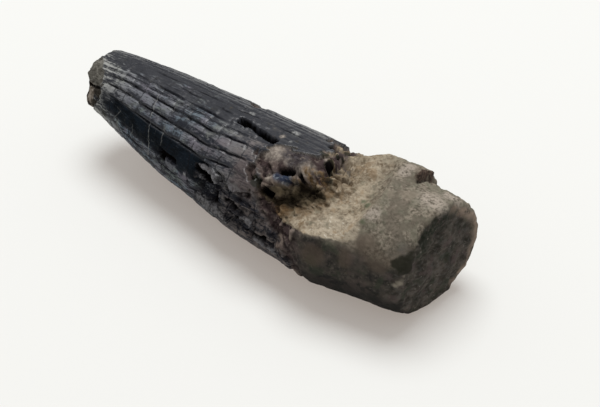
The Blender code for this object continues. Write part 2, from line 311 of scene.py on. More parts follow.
# Heaps of mineral, and a swelling low on the tip: place, angle, height, radius.
MOUNDS = (
    (6.5, 108, 0.8, 2.8),
    (9.2, 110, 0.7, 2.4),
    (7.6, 131, 0.7, 1.5),
    (11.8, 101, 0.6, 2.2),
    (5.5, 126, 0.5, 2.0),
    (13.3, 90, 0.5, 1.2),
    (4.0, 150, 0.5, 2.4),
    (-32.6, 195, 1.1, 2.0),
)

# The recess beneath the crags, along its middle: place, angle and half width.
RECESS = (
    (8.0, 146, 0.9), (10.0, 142, 1.4), (12.0, 136, 1.7), (13.6, 129, 1.6), (14.6, 123, 1.1),
)
RECESS_DEPTH = 0.45

# How far shards, chips, gaps and swellings stand out or sink in.
CRAG_LIFT = 0.5
CHIP_LIFT = 0.14
PLATE_LIFT = 0.7
PLATE_GAP_DEPTH = 0.25
CRAG_GAP_DEPTH = 0.22
CRAG_SWELL = 0.22
CRAG_ROUGHNESS = 0.12
GRAIN_LIFT = 0.14
SAND_SWELL = 0.24


def heaps(listed):
    """Round heaps on the tooth, added up."""
    total = np.zeros_like(x)
    for at, middle, tall, wide in listed:
        total += tall * np.exp(-((x - at) ** 2 + from_angle(middle) ** 2) / wide**2)
    return total


def beside_path(path):
    """How far each spot lies from a path of places and angles, and the path's width there."""
    nearest = np.full_like(x, FAR_OFF)
    width = np.zeros_like(x)
    for (x1, angle1, wide1), (x2, angle2, wide2) in zip(path, path[1:]):
        ahead = x - x1
        round_it = from_angle(angle1)
        step = x2 - x1, radians(1) * (angle2 - angle1) * outside
        share = np.clip((ahead * step[0] + round_it * step[1]) / (step[0]**2 + step[1]**2), 0, 1)
        gap = np.hypot(ahead - share * step[0], round_it - share * step[1])
        width = np.where(gap < nearest, wide1 + share * (wide2 - wide1), width)
        nearest = np.minimum(gap, nearest)
    return nearest, width


crag_in, crag_own = shards(warped, 1.7, 5)
chip_own = shards(warped, 0.8, 6)[1]
crag_lumps = lumps(spots, 2.4, 6)
past_enamel = (1.0 - enamel) * blend(TIP + 8.0, -6.0, x)
middle = past_enamel * (1.0 - blend(14.0, 18.0, x))
cap = band(3.0, 11.0, 1.5, x) * band(84.0, 117.0, 6.0, angle)
crags = CRAG_LIFT * (crag_own - 0.5) - CRAG_GAP_DEPTH * (1.0 - blend(0.0, 0.2, crag_in))
crags = crags * (1.0 - 0.95 * cap) + CRAG_SWELL * crag_lumps
crags += CHIP_LIFT * (chip_own - 0.5) * (1.0 - 0.6 * cap)
crags += CRAG_ROUGHNESS * lumps(spots, 1.0, 24)
chipped = band(-5.5, 12.5, 1.2, x) * band(151.0, 196.0, 3.0, angle)
parted = blend(-0.1, 0.3, lumps(spots, 1.6, 23, 2))
plates = PLATE_LIFT * (plate_own - 0.6)
plates -= PLATE_GAP_DEPTH * parted * (1.0 - blend(0.0, 0.15, plate_in))
plates += 0.25 * (chip_own - 0.5)

gap, width = beside_path(RECESS)
gap += 0.45 * crag_lumps + 0.35 * lumps(spots, 1.2, 19, 2)
recess = (RECESS_DEPTH + 0.3 * chip_own) * (1.0 - blend(0.0, 1.6, gap / width))
# Painted shade in the recess under the crags: darkest along its middle, fading out over two of its
# widths.
recess_shade = 1.0 - blend(0.3, 2.0, gap / width)

grain_in, grain_own = shards(spots, 0.8, 7)
grains = GRAIN_LIFT * grain_own * blend(0.0, 0.35, grain_in) + SAND_SWELL * lumps(spots, 2.2, 8, 4)

# --- The root ---------------------------------------------------------------------------------
# The root's outer face is smooth stone.  A slab of it stands proud beside the hollow and ends in
# an upright break, the end itself is snapped off square, and a flat chip is gone low down.

# The slab: from place, to place, the width of its break and how far that leans for each degree,
# which way its middle faces, how far it reaches round from there, its height, and how deep the
# line at the foot of its break is.
SLAB_FROM = 15.0
SLAB_TO = 25.0
SLAB_BREAK = 0.45
SLAB_END_LEANS = 0.022
SLAB_MIDDLE = 40.0
SLAB_HALF = 30.0
SLAB_HEIGHT = 1.5
SLAB_FOOT_DEPTH = 0.3

# The flat chip: which way it faces, how far it lies from the tooth's middle, and where it starts.
CHIP_FACES = 312.0
CHIP_FLOOR = 8.7
CHIP_FROM = 26.0

# How far the two broken ends slant: angle and distance, over the last stretch of each end.
TIP_SLANT = (
    (0, 0.6), (45, 0.6), (90, 0.9), (125, 1.1), (145, 1.35), (158, 0.4), (168, 0.2),
    (178, 0.2), (192, 0.4), (225, 0.3), (300, 0.3), (360, 0.6),
)
END_SLANT = (
    (0, 0.7), (45, 0.3), (90, -0.2), (135, -0.2), (180, -0.2), (215, -0.7), (245, -1.1),
    (275, -0.6), (315, 0.4), (360, 0.7),
)
SLANT_REACH = 9.0

# How far swellings and grain stand out on the root, the slab's side and the bare tip, and how
# far the bare tip is sunk.
ROOT_SWELL = 0.3
ROOT_GRAIN = 0.09
SLAB_GRAIN = 0.16
TIP_SWELL = 0.22
TIP_SUNK = 0.1

# A flat floor cuts only the spots that face it, by the cosine of the angle between.
FACES_IT = 0.3

root = blend(12.0, 18.0, x)
slab_side = blend(SLAB_FROM, SLAB_FROM + 4.0, x) * (1.0 - blend(60.0, 75.0, angle))
root_form = ROOT_SWELL * lumps(spots, 4.5, 9, 3)
root_form += (ROOT_GRAIN + SLAB_GRAIN * slab_side) * lumps(spots, 1.2, 10)
slab_end = SLAB_TO + 0.3 * (chip_own - 0.5) + SLAB_END_LEANS * np.clip(angle - 25.0, 0.0, 45.0)
slab = blend(SLAB_FROM, SLAB_FROM + 5.0, x) * (1.0 - blend(slab_end, slab_end + SLAB_BREAK, x))
slab *= 1.0 - blend(SLAB_HALF - 12.0, SLAB_HALF, np.abs(turned(angle, SLAB_MIDDLE)))

# The outer surface: crown, crags, root and bare tip, then the flat chip off the root.
radius = outside - ENAMEL * (1.0 - enamel) * (1.0 - root)
radius += crown + middle * crags + heaps(MOUNDS) + root * root_form + SLAB_HEIGHT * slab
radius += chipped * plates
tip_bare = (1.0 - enamel) * (1.0 - blend(TIP + 6.0, TIP + 9.0, x))
radius += tip_bare * (TIP_SWELL * lumps(spots, 1.4, 12) - TIP_SUNK)

chip = np.cos(np.radians(turned(angle, CHIP_FACES)))
chip_floor = CHIP_FLOOR + 1.2 * blend(END, CHIP_FROM, x) + 0.15 * lumps(spots, 1.8, 13)
flat_there = np.minimum(radius, chip_floor / np.maximum(chip, FACES_IT))
radius = np.where(chip > FACES_IT, flat_there, radius)

# --- The hollow -------------------------------------------------------------------------------
# Behind the crags the outer tooth has broken away down to its sandy fill, which is clotted at
# the foot of the wall and ends in a ledge that faces up.

# By angle: where the hollow's wall stands, how wide that is, and where the fill ends.
HOLLOW_WALL = (
    (0, 10.5), (57, 10.8), (74, 12.0), (90, 12.6), (103, 12.0), (114, 11.3), (122, 10.8),
    (132, 10.2), (140, 9.4), (148, 8.4), (155, 8.0), (165, 7.2), (360, 7.2),
)
WALL_WIDTH = (
    (0, 1.9), (74, 2.2), (90, 2.7), (103, 3.0), (122, 3.0), (132, 2.6), (147, 1.9), (360, 1.9),
)
FILL_TO = (
    (0, 19.0), (35, 20.0), (58, 20.8), (75, 21.5), (91, 22.4), (121, 23.8), (140, 24.8),
    (148, 24.4), (154, 22.7), (158, 17.2), (162, 10.8), (166, 8.0), (360, 8.0),
)

# Which way the hollow faces, and how far its floor lies from the tooth's middle.
HOLLOW_FACES = 108.0
HOLLOW_FLOOR = 6.1

# Loose clumps at the foot of the crags: place, angle, height, radius.
RUBBLE = (
    (15.0, 109, 1.5, 2.2), (14.2, 122, 0.6, 1.5), (16.2, 98, 0.8, 2.2), (12.4, 140, 0.4, 1.6),
)
CLUMP_LIFT = 0.5
CLUMP_GAP_DEPTH = 0.3

facing = np.cos(np.radians(turned(angle, HOLLOW_FACES)))
wall = round_the_tooth(HOLLOW_WALL, angle) + 0.7 * lumps(spots, 2.2, 14, 2)
wall_width = round_the_tooth(WALL_WIDTH, angle)
floor = HOLLOW_FLOOR + 5.0 * (1.0 - blend(wall, wall + wall_width, x)) + 0.9 * blend(8.0, 22.0, x)
near_wall = 1.0 - blend(1.0, 6.5, x - wall - 0.6 * wall_width + 1.5 * crag_lumps)
floor += 6.0 * blend(21.0, 28.6, x) + grains * (1.0 + near_wall) + heaps(RUBBLE)
cut = radius - np.where(facing > FACES_IT, floor / np.maximum(facing, FACES_IT), FAR_OFF)
radius -= np.maximum(cut, 0.0)
hollow = blend(0.0, 0.3, cut)
radius -= recess
broken_face = hollow * near_wall
clumps = np.stack([x, radius * np.cos(turn), radius * np.sin(turn)], axis=1)
clump_in, clump_own = shards(clumps + 0.3 * rough[:, None], 1.1, 25)
clump_gap = (1.0 - blend(0.0, 0.25, clump_in)) * broken_face
radius += CLUMP_LIFT * broken_face * (clump_own - 0.5) - CLUMP_GAP_DEPTH * clump_gap
nudge = 0.8 * broken_face * lumps(clumps, 1.6, 26, 2)

# The slab's upright break above the hollow, and the dark line at its foot.
past_slab = x - slab_end
slab_face = band(-0.2, SLAB_BREAK + 0.1, 0.1, past_slab + 0.3 * rough)
slab_face *= band(36.0, 66.0, 2.0, angle)
slab_foot = np.exp(-((past_slab - SLAB_BREAK - 0.2) / 0.2) ** 2)
slab_foot *= band(36.0, 68.0, 4.0, angle)
radius -= SLAB_FOOT_DEPTH * slab_foot

# --- Slots and pits ---------------------------------------------------------------------------
# Narrow holes where blocks of enamel have dropped out or mineral has dissolved away.
# Place, angle, length, width, depth, and turn from the tooth's length.

SLOTS = (
    (-2.5, 95.0, 1.9, 1.25, 2.4, 0.0),
    (-0.7, 94.6, 3.4, 0.85, 2.3, 3.0),
    (2.2, 97.5, 4.7, 1.15, 2.4, 9.0),
    (-13.4, 172.0, 1.3, 2.2, 1.2, 10.0),
    (-11.5, 168.5, 2.6, 1.0, 0.8, 0.0),
    (-3.8, 160.0, 3.9, 1.2, 1.6, 8.0),
    (-1.2, 176.0, 1.0, 2.4, 1.3, 0.0),
    (2.0, 172.5, 2.8, 0.9, 1.3, 0.0),
    (5.0, 181.0, 2.8, 1.1, 1.3, -12.0),
    (9.5, 186.5, 4.5, 0.8, 0.8, 0.0),
    (8.0, 145.0, 2.2, 1.3, 1.5, 10.0),
    (9.6, 120.5, 2.3, 0.9, 1.2, -22.0),
    (11.9, 118.0, 1.4, 0.7, 0.8, 30.0),
    (15.0, 106.0, 1.2, 0.9, 0.35, 0.0),
    (13.7, 91.5, 0.8, 1.2, 0.6, 0.0),
    (9.5, 58.0, 0.7, 1.4, 0.5, 0.0),
    (11.4, 66.0, 0.9, 2.0, 0.6, 10.0),
    (13.2, 69.0, 0.7, 1.6, 0.6, 0.0),
    (-31.8, 160.0, 1.8, 0.55, 0.6, -6.0),
    (-30.2, 156.0, 1.9, 0.45, 0.4, -25.0),
)

# How uneven their edges are, and the power that makes them oblong rather than oval.
RAGGED = 0.15
BOXY = 6

ragged = RAGGED * lumps(spots, 0.6, 15, 2)
sunk = np.zeros_like(x)
for at, slot_angle, long, wide, deep, slot_turn in SLOTS:
    along = x - at
    over = from_angle(slot_angle)
    lie = np.cos(radians(slot_turn)), np.sin(radians(slot_turn))
    out = ((np.abs(along * lie[0] + over * lie[1]) * 2 / long) ** BOXY
           + (np.abs(over * lie[0] - along * lie[1]) * 2 / wide) ** BOXY) ** (1 / BOXY)
    sunk = np.maximum(sunk, deep * (1.0 - blend(0.7, 1.2, out + ragged)))
radius -= sunk

# --- The broken ends, and the tooth set down --------------------------------------------------
# Both ends are old breaks across the grain, slanted and uneven.  The tooth lies on its belly.

# How far the root end's edge is worn back: angle and distance.
SOFT_EDGE = ((0, 0.0), (105, 0.0), (130, 0.7), (185, 0.8), (215, 0.3), (240, 0.0), (360, 0.0))

# How uneven a broken end is, which the one at the tip is half as much.
FACE_SWELL = 0.45
FACE_GRAIN = 0.08
SNAP_LIFT = 0.25

radius -= round_the_tooth(SOFT_EDGE, angle) * blend(END - 5.0, END, x) ** 2
slant = round_the_tooth(END_SLANT, angle) * blend(END - SLANT_REACH, END, x)
slant -= round_the_tooth(TIP_SLANT, angle) * blend(TIP + SLANT_REACH, TIP, x)
in_face = 1.0 - blend(0.88, 1.0, reach)
snap_in, snap_own = shards(spots * (0.0, 1.0, 1.0), 2.6, 16)
face = FACE_SWELL * lumps(spots, 3.0, 17) + FACE_GRAIN * lumps(spots, 0.7, 17)
face += SNAP_LIFT * (snap_own - 0.5) * blend(0.0, 0.25, snap_in)
face *= 1.0 - 0.5 * (x < 0)
shift = in_face * face + reach * slant + nudge

points = np.stack([
    x + shift - MIDDLE_X,
    across + reach * radius * np.cos(turn) - MIDDLE_Y,
    np.maximum(height + reach * radius * np.sin(turn), 0.0),
], axis=1) * MM
skin.vertices.foreach_set("co", points.ravel())

# --- What shows where -------------------------------------------------------------------------
# Each kind of surface is written on the skin as a number, for the finish to read: most from 0
# to 1, but in millimetres the distances past a groove or a crack, and a groove's depth.

# Pale cracks across the crown: their strength, then angles and places.
PALE_CRACKS = (
    (1.0, (105, -20.0), (112, -18.5), (125, -17.7), (140, -17.4), (155, -16.8), (170, -16.4),
     (186, -16.5)),
    (0.5, (108, -14.5), (125, -14.1), (140, -14.2), (155, -13.9), (162, -13.8)),
    (0.5, (158, -23.6), (166, -24.2), (173, -24.9), (182, -25.5)),
    (0.4, (162, -20.5), (172, -20.4), (181, -20.9)),
)

past_crack = np.full_like(x, 9.0)
crack_strength = np.zeros_like(x)
for strength, *line in PALE_CRACKS:
    angles, places = zip(*line)
    away = x - np.interp(angle, angles, places) + 0.15 * streak
    away += np.maximum(angles[0] - angle, 0.0) + np.maximum(angle - angles[-1], 0.0)
    closer = np.abs(away) < np.abs(past_crack)
    past_crack = np.where(closer, away, past_crack)
    crack_strength = np.where(closer, strength, crack_strength)

# Stained and scuffed spots, and glints painted as highlights: place, angle, reach, radius.
SPOTS = {
    "green": ((22.8, 113, 1.0, 0.8), (21.5, 108, 1.0, 0.5), (24.5, 132, 1.0, 0.6)),
    "dark": ((33.1, 158, 1.3, 1.7), (31.3, 156, 1.6, 1.4), (33.3, 150.5, 1.0, 1.9),
             (13.7, 91, 1.0, 0.8), (12.0, 84, 1.0, 0.7), (15.1, 106, 1.0, 0.75),
             (-28.0, 186, 1.0, 0.8), (5.8, 140, 1.0, 0.8), (9.4, 58, 1.0, 0.5),
             (11.4, 66, 1.0, 0.7), (13.2, 69, 1.0, 0.6), (12.9, 54, 1.0, 0.6)),
    "bronze": ((26.5, 150, 1.0, 2.2), (29.0, 158, 1.0, 1.8), (19.0, 172, 1.0, 2.0),
               (24.0, 165, 1.0, 1.5)),
    "light": ((4.4, 89, 1.0, 0.5), (23.8, 64, 1.0, 1.2), (25.1, 124, 1.0, 1.5),
              (30.6, 80, 1.0, 2.2), (12.9, 89, 1.0, 0.5), (31.5, 62, 1.0, 1.6),
              (7.5, 132, 1.0, 0.6), (11.6, 126, 1.0, 0.5)),
    "ledge": ((33.3, 164, 0.96, 0.5), (33.1, 168, 1.0, 0.6), (32.6, 172, 1.0, 0.6),
              (32.0, 175, 1.0, 0.5)),
    "plum": ((4.2, 146, 1.0, 2.6), (2.6, 138, 1.0, 1.6)),
    "glint": ((-3.2, 79, 1.0, 0.5), (-3.1, 132, 1.0, 0.3), (6.4, 92, 1.0, 0.25),
              (5.2, 75, 1.0, 0.7), (-22.8, 133, 1.0, 0.25), (-8.0, 174, 1.0, 0.3)),
    "brown": ((12.8, 136, 1.0, 2.2), (14.5, 128, 1.0, 2.4), (14.5, 144, 1.0, 2.0),
              (16.5, 120, 1.0, 1.8), (12.5, 152, 1.0, 1.8), (15.5, 152, 1.0, 1.6)),
    "tan": ((6.0, 110, 1.0, 2.2), (9.0, 112, 1.0, 1.0), (11.5, 108, 1.0, 1.5)),
    "grey": ((8.8, 100, 1.0, 2.4), (10.2, 105, 1.0, 1.6), (9.5, 112, 1.0, 1.0)),
    "blue": ((9.9, 127, 1.0, 1.1), (8.7, 128, 1.0, 0.8)),
    "orange": ((12.6, 112, 1.0, 1.3), (14.5, 108, 1.0, 1.2), (10.5, 152, 1.0, 1.6),
               (12.5, 146, 1.0, 1.2), (16.5, 116, 1.0, 1.0)),
}
spotted = {}
for name, listed in SPOTS.items():
    spotted[name] = np.zeros_like(x)
    for at, spot_angle, out, wide in listed:
        half_y, half_z = section(np.array([float(at)]))[2:].ravel()
        bearing = radians(spot_angle)
        spoke = half_y * half_z / np.hypot(half_z * np.cos(bearing), half_y * np.sin(bearing))
        middle_of = np.array([at, out * spoke * np.cos(bearing), out * spoke * np.sin(bearing)])
        gap = np.linalg.norm(spots - middle_of, axis=1) / wide
        spotted[name] = np.maximum(spotted[name], 1.0 - blend(0.5, 1.3, gap + 0.4 * crag_lumps))

fill_to = round_the_tooth(FILL_TO, angle) + 0.7 * lumps(spots, 1.6, 18)
soft = 0.4 + 2.6 * (1.0 - blend(118.0, 145.0, angle))
crumbs = 2.2 * (chip_own - 0.5) + 1.2 * (crag_own - 0.5)
fill_from = wall + 0.3 * wall_width
fill = blend(fill_from - 0.4, fill_from + 0.8, x + crumbs)
fill *= 1.0 - beyond(fill_to, soft, x)
fill *= blend(20.0, 40.0, angle) * (1.0 - blend(164.0, 168.0, angle))
end_face = (x > 0) * (1.0 - blend(0.9, 0.985, reach + 0.04 * rough))
end_edge = blend(29.0, 32.5, x + rough) * band(132.0, 200.0, 10.0, angle)
end_face = np.maximum(end_face, end_edge * 0.8)
rim = (x > 0) * blend(0.74, 0.92, reach + 0.05 * rough)
rim *= (1.0 - blend(55.0, 75.0, np.abs(turned(angle, 5.0)))) * end_face
end_dark = (x > 0) * band(0.6, 0.9, 0.1, reach + 0.1 * rough) * band(66.0, 140.0, 14.0, angle)
tip_face = (x < 0) * (1.0 - blend(0.85, 0.97, reach))
lobe = blend(TIP + 5.0, TIP + 4.0, x) * blend(0.45, 0.8, reach + 0.1 * rough)
lobe *= band(155.5, 222.0, 4.5, angle + 6.0 * rough)
belly = 1.0 - 0.8 * blend(222.0, 255.0, angle + 9.0 * rough)
lower = blend(152.0, 162.0, angle + 4.0 * crag_lumps) * (1.0 - blend(300.0, 340.0, angle))
layers = {
    "enamel": enamel,
    "crag": middle * (1.0 - fill),
    "fill": fill,
    # painted shade in the recess under the crags
    "recess_shade": recess_shade,
    "end": end_face,
    "bare_tip": np.maximum(tip_bare, tip_face),
    "sunk": blend(0.1, 0.5, sunk),
    "facet": facet,
    "shade": band(-13.0, -2.0, 1.5, x) * band(132.0, 138.5, 1.2, angle + lean + 6.0),
    "top": top,
    # painted shadow along the enamel's edge at the tip
    "enamel_edge_shadow": blend(-0.9, -0.5, x - tip_edge + 0.2 * rough),
    "lobe": lobe,
    "lower": lower,
    # painted shade low on the front and underneath, by the table
    "under": blend(176.0, 205.0, angle) * belly,
    "plate": plate_own * chipped,
    "chipped": chipped * parted * (1.0 - blend(0.0, 0.2, plate_in)),
    "crag_own": crag_own,
    "crag_gap": (1.0 - blend(0.0, 0.2, crag_in)) * (1.0 - cap) * parted,
    "rib_own": draw(rib, block),
    "rib_share": rib_share,
    "ribbed": ribbed,
    "near_wall": near_wall * (0.4 + 0.6 * blend(80.0, 105.0, angle)),
    "clump_gap": clump_gap,
    "clump_own": clump_own * broken_face,
    "worn_most": np.maximum(band(-4.0, 3.5, 2.5, x) * band(120.0, 136.0, 5.0, angle),
                            0.6 * blend(TIP + 6.0, TIP + 1.0, x)),
    "cream": blend(15.0, 21.0, x + rough) * band(132.0, 160.0, 7.0, angle),
    "rim": rim,
    "end_dark": end_dark,
    "slab_face": slab_face,
    "slab_foot": slab_foot,
    **spotted,
    "past_groove": past_groove,
    "groove_depth": groove_depth * enamel,
    "past_break": past_break,
    "past_crack": past_crack,
    "crack_strength": crack_strength,
}
for name, values in layers.items():
    written = skin.attributes.new(name, "FLOAT", "POINT")
    written.data.foreach_set("value", np.asarray(values, dtype=np.float32))

closed = bmesh.new()
closed.from_mesh(skin)
bmesh.ops.remove_doubles(closed, verts=closed.verts, dist=1e-7)
bmesh.ops.recalc_face_normals(closed, faces=closed.faces)
closed.to_mesh(skin)
closed.free()
skin.shade_smooth()

tooth = bpy.data.objects.new("fossil_tooth", skin)
bpy.context.scene.collection.objects.link(tooth)

# --- The fossil's finish ----------------------------------------------------------------------
# Dark enamel, glossy on top, pale with wear along its ribs and given a painted highlight on their
# upper sides; purple-brown mineral; sandy tan fill; grey-brown root with darker sides; greenish
# fracture at the root end; bare grey tip.

finish = bpy.data.materials.new("fossil")
finish.use_nodes = True
nodes = finish.node_tree.nodes
links = finish.node_tree.links
shader = nodes["Principled BSDF"]


class Value:
    """A socket that can be added, subtracted and multiplied."""

    def __init__(self, socket):
        self.socket = socket

    def maths(self, operation, *others):
        node = nodes.new("ShaderNodeMath")
        node.operation = operation
        for slot, other in zip(node.inputs, (self, *others)):
            connect(slot, other)
        return Value(node.outputs[0])

    def __abs__(self):
        return self.maths("ABSOLUTE")

    def __add__(self, other):
        return self.maths("ADD", other)

    def __sub__(self, other):
        return self.maths("SUBTRACT", other)

    def __rsub__(self, other):
        return self.maths("MULTIPLY", -1.0).maths("ADD", other)

    def __mul__(self, other):
        return self.maths("MULTIPLY", other)

    __radd__ = __add__
    __rmul__ = __mul__


def connect(slot, value):
    """Links a value to a socket, or sets the socket to a number or colour."""
    if isinstance(value, Value):
        links.new(value.socket, slot)
    else:
        slot.default_value = value


def add_node(kind, settings=(), inputs=(), output=0):
    """Any other node: its type, its settings, then the values or links of its sockets."""
    node = nodes.new(kind)
    for name, setting in dict(settings).items():
        setattr(node, name, setting)
    for name, value in dict(inputs).items():
        connect(node.inputs[name], value)
    return Value(node.outputs[output])


def layer(name):
    """A number that was written on the skin."""
    return add_node("ShaderNodeAttribute", {"attribute_name": name}, output="Fac")


where = add_node("ShaderNodeTexCoord", output="Object")
where_x = add_node("ShaderNodeSeparateXYZ", inputs={"Vector": where}, output="X")


def mottle(size, stretch=1.0, detail=4.0, rough=0.6, offset=0.0):
    """Noise from 0 to 1 with features of that size in metres, drawn out along the tooth."""
    place = add_node("ShaderNodeMapping", inputs={
        "Vector": where, "Location": (offset, offset, offset),
        "Scale": (1 / (size * stretch), 1 / size, 1 / size)})
    return add_node("ShaderNodeTexNoise", inputs={
        "Vector": place, "Scale": 1.0, "Detail": detail, "Roughness": rough})


def between(low, high, value):
    """0 at low, 1 at high, and an S curve between, in the shader."""
    return add_node("ShaderNodeMapRange", {"interpolation_type": "SMOOTHSTEP"}, {
        "Value": value, "From Min": low, "From Max": high})


def mix(share, first, second):
    """From one colour to another.  A colour is a Value, or its red, green and blue."""
    node = nodes.new("ShaderNodeMix")
    node.data_type = "RGBA"
    connect(node.inputs[0], share)
    for slot, colour in zip((node.inputs[6], node.inputs[7]), (first, second)):
        connect(slot, colour if isinstance(colour, Value) else (*colour, 1.0))
    return Value(node.outputs[2])


def coats(colour, *over):
    """A colour with others laid over it in turn, each as far as its share says."""
    for share, coat in over:
        colour = mix(share, colour, coat)
    return colour


# Patterns, from the finest to the coarsest.
thread = mottle(0.00024, stretch=8.0, detail=3.0, offset=5.0)
fleck = mottle(0.00042, stretch=1.8, detail=4.0, rough=0.7, offset=3.0)
grit = mottle(0.00045)
thin = grit - 0.5
dash = mottle(0.0009, stretch=2.0, detail=3.0, offset=23.0)
speckle = mottle(0.0011, offset=17.0)
stain_patch = mottle(0.0021, detail=4.0, offset=37.0)
blotch = mottle(0.0022, detail=5.0, offset=7.0)
brown_patch = mottle(0.0028, detail=3.0, offset=21.0)
grey_patch = mottle(0.0028, detail=3.0, offset=29.0)
tint = mottle(0.0034, detail=3.0, offset=43.0)
side_patch = mottle(0.0034, detail=2.0, offset=31.0)
patch = mottle(0.005, detail=3.0, offset=11.0)

# Enamel: nearly black, with wear to blue and grey on the ribs' crests and a painted highlight
# along each rib's upper side, brown by the break and pale at the tip.  Its cross cracks hold dark
# mineral, and its grooves are painted near black as painted shade.
BLACK_ENAMEL = (0.008, 0.009, 0.014)
DARK_ENAMEL = (0.020, 0.021, 0.027)
BLUE_WEAR = (0.116, 0.147, 0.175)
GREY_WEAR = (0.135, 0.139, 0.155)
GREEN_WEAR = (0.125, 0.142, 0.118)
PURPLE_WEAR = (0.128, 0.110, 0.138)
BROWN_WEAR = (0.122, 0.103, 0.096)
TIP_WEAR = (0.32, 0.32, 0.30)
SHADED_ENAMEL = (0.006, 0.008, 0.014)
GROOVE_SHADE = (0.003, 0.003, 0.005)
CRACK_FILL = (0.006, 0.006, 0.008)
PALE_CRACK = (0.22, 0.22, 0.21)
GLINT = (0.30, 0.30, 0.285)

enamel_layer = layer("enamel")
facet_layer = layer("facet")
lower_layer = layer("lower")
# Painted shade down the grooves: a thin near-black line, stronger from mid crown towards the
# break.
groove_shading = 0.4 + 0.4 * between(-0.026, -0.014, where_x)
in_groove = 1.0 - between(0.06, 0.24, abs(layer("past_groove") + thin * 0.25))
in_groove = in_groove * between(0.03, 0.2, layer("groove_depth"))
in_groove = in_groove * (groove_shading + (1.0 - groove_shading) * between(0.44, 0.56, blotch))
in_break = 1.0 - between(0.03, 0.17, abs(layer("past_break") + thin * 0.3))
pale = 1.0 - between(0.03, 0.15, abs(layer("past_crack") + thin * 0.2))
pale = pale * layer("crack_strength") * between(0.35, 0.6, blotch)

# Each rib is lighter a little above its middle: partly wear on the crests, partly a painted
# highlight where light from above falls on the rib's upper side.
crest_wear_and_highlight = (1.0 - abs(layer("rib_share") - 0.4) * 2.0) * layer("ribbed")
wear_and_highlight = fleck * 0.37 + thread * 0.43 + blotch * 0.2 + (layer("rib_own") - 0.5) * 0.075
wear_and_highlight = wear_and_highlight + crest_wear_and_highlight * 0.12 + patch * 0.13 + layer("worn_most") * 0.08 - layer("top") * 0.056
wear_and_highlight = between(0.44, 0.595, wear_and_highlight - 0.140)
wear_and_highlight = wear_and_highlight * (1.0 - facet_layer * 0.97) * (1.0 + lower_layer * 0.1)
worn_colour = coats(
    mix(between(0.4, 0.6, patch), BLUE_WEAR, GREY_WEAR),
    (between(0.52, 0.6, tint) * 0.6, GREEN_WEAR),
    (between(0.46, 0.38, tint) * 0.6, PURPLE_WEAR),
    (between(-0.012, 0.007, where_x), BROWN_WEAR),
    (between(-0.022, -0.031, where_x), TIP_WEAR),
)

# The flat facet is black and barely streaked, with a faint painted blue sheen in patches.
FACET_BLACK = (0.0, 0.001, 0.002)
FACET_SHEEN = (0.004, 0.008, 0.013)
FACET_STREAK = (0.030, 0.038, 0.048)

facet_colour = coats(
    mix(between(0.38, 0.62, blotch * 0.6 + thread * 0.4), FACET_BLACK, FACET_SHEEN),
    (between(0.58, 0.66, thread * 0.6 + fleck * 0.4) * 0.6, FACET_STREAK),
)

# Small plates of enamel along the front, some lost, each of its own grey.
PLATE_DARK = (0.012, 0.012, 0.015)
PLATE_LIGHT = (0.15, 0.145, 0.15)
PLATE_GRIT = (0.05, 0.045, 0.045)
PLATE_GAP = (0.006, 0.005, 0.007)

plate_colour = coats(
    mix(between(0.35, 0.8, layer("plate")), PLATE_DARK, PLATE_LIGHT),
    (between(0.5, 0.62, grit), PLATE_GRIT),
)
enamel_colour = coats(
    mix(wear_and_highlight, mix(patch, BLACK_ENAMEL, DARK_ENAMEL), worn_colour),
    (layer("shade") * between(0.7, 0.45, fleck), SHADED_ENAMEL),
    (facet_layer * 0.94, facet_colour),
    (between(0.05, 0.3, layer("plate")) * 0.8, plate_colour),
    (in_break * between(0.4, 0.55, blotch) * 0.8, CRACK_FILL),
    (layer("chipped") * 0.85, PLATE_GAP),
    # glints: painted highlights on the enamel
    (layer("glint") * between(0.35, 0.6, grit) * 0.8, GLINT),
    # painted shade in the grooves
    (in_groove, GROOVE_SHADE),
    (pale * 0.75, PALE_CRACK),
)

# Crags: purple-brown mineral in shards of their own shade, tan or grey in places, with one blue
# glassy spot.
CRAG_DARK = (0.042, 0.028, 0.027)
CRAG_LIGHT = (0.215, 0.17, 0.142)
CRAG_PURPLE = (0.062, 0.044, 0.043)
CRAG_BROWN = (0.078, 0.062, 0.058)
CRAG_DUST = (0.26, 0.215, 0.175)
CRAG_GAP = (0.015, 0.010, 0.010)
TAN_DARK = (0.19, 0.16, 0.135)
TAN_LIGHT = (0.35, 0.305, 0.26)
GREY_DARK = (0.018, 0.015, 0.017)
GREY_LIGHT = (0.062, 0.055, 0.059)
GLASS_BLUE = (0.018, 0.030, 0.058)
GLASS_PALE = (0.22, 0.25, 0.28)

crag_colour = coats(
    mix(between(0.25, 0.75, layer("crag_own")), CRAG_DARK, CRAG_LIGHT),
    (between(0.46, 0.58, blotch) * 0.7, CRAG_PURPLE),
    (between(0.52, 0.6, patch) * 0.6, CRAG_BROWN),
    (layer("tan") * 0.85, mix(between(0.35, 0.65, grit), TAN_DARK, TAN_LIGHT)),
    (layer("grey") * 0.85, mix(between(0.4, 0.6, fleck), GREY_DARK, GREY_LIGHT)),
    (between(0.52, 0.68, grit) * 0.4, CRAG_DUST),
    (layer("crag_gap") * 0.75, CRAG_GAP),
    (layer("blue") * 0.9, mix(between(0.5, 0.64, speckle), GLASS_BLUE, GLASS_PALE)),
)

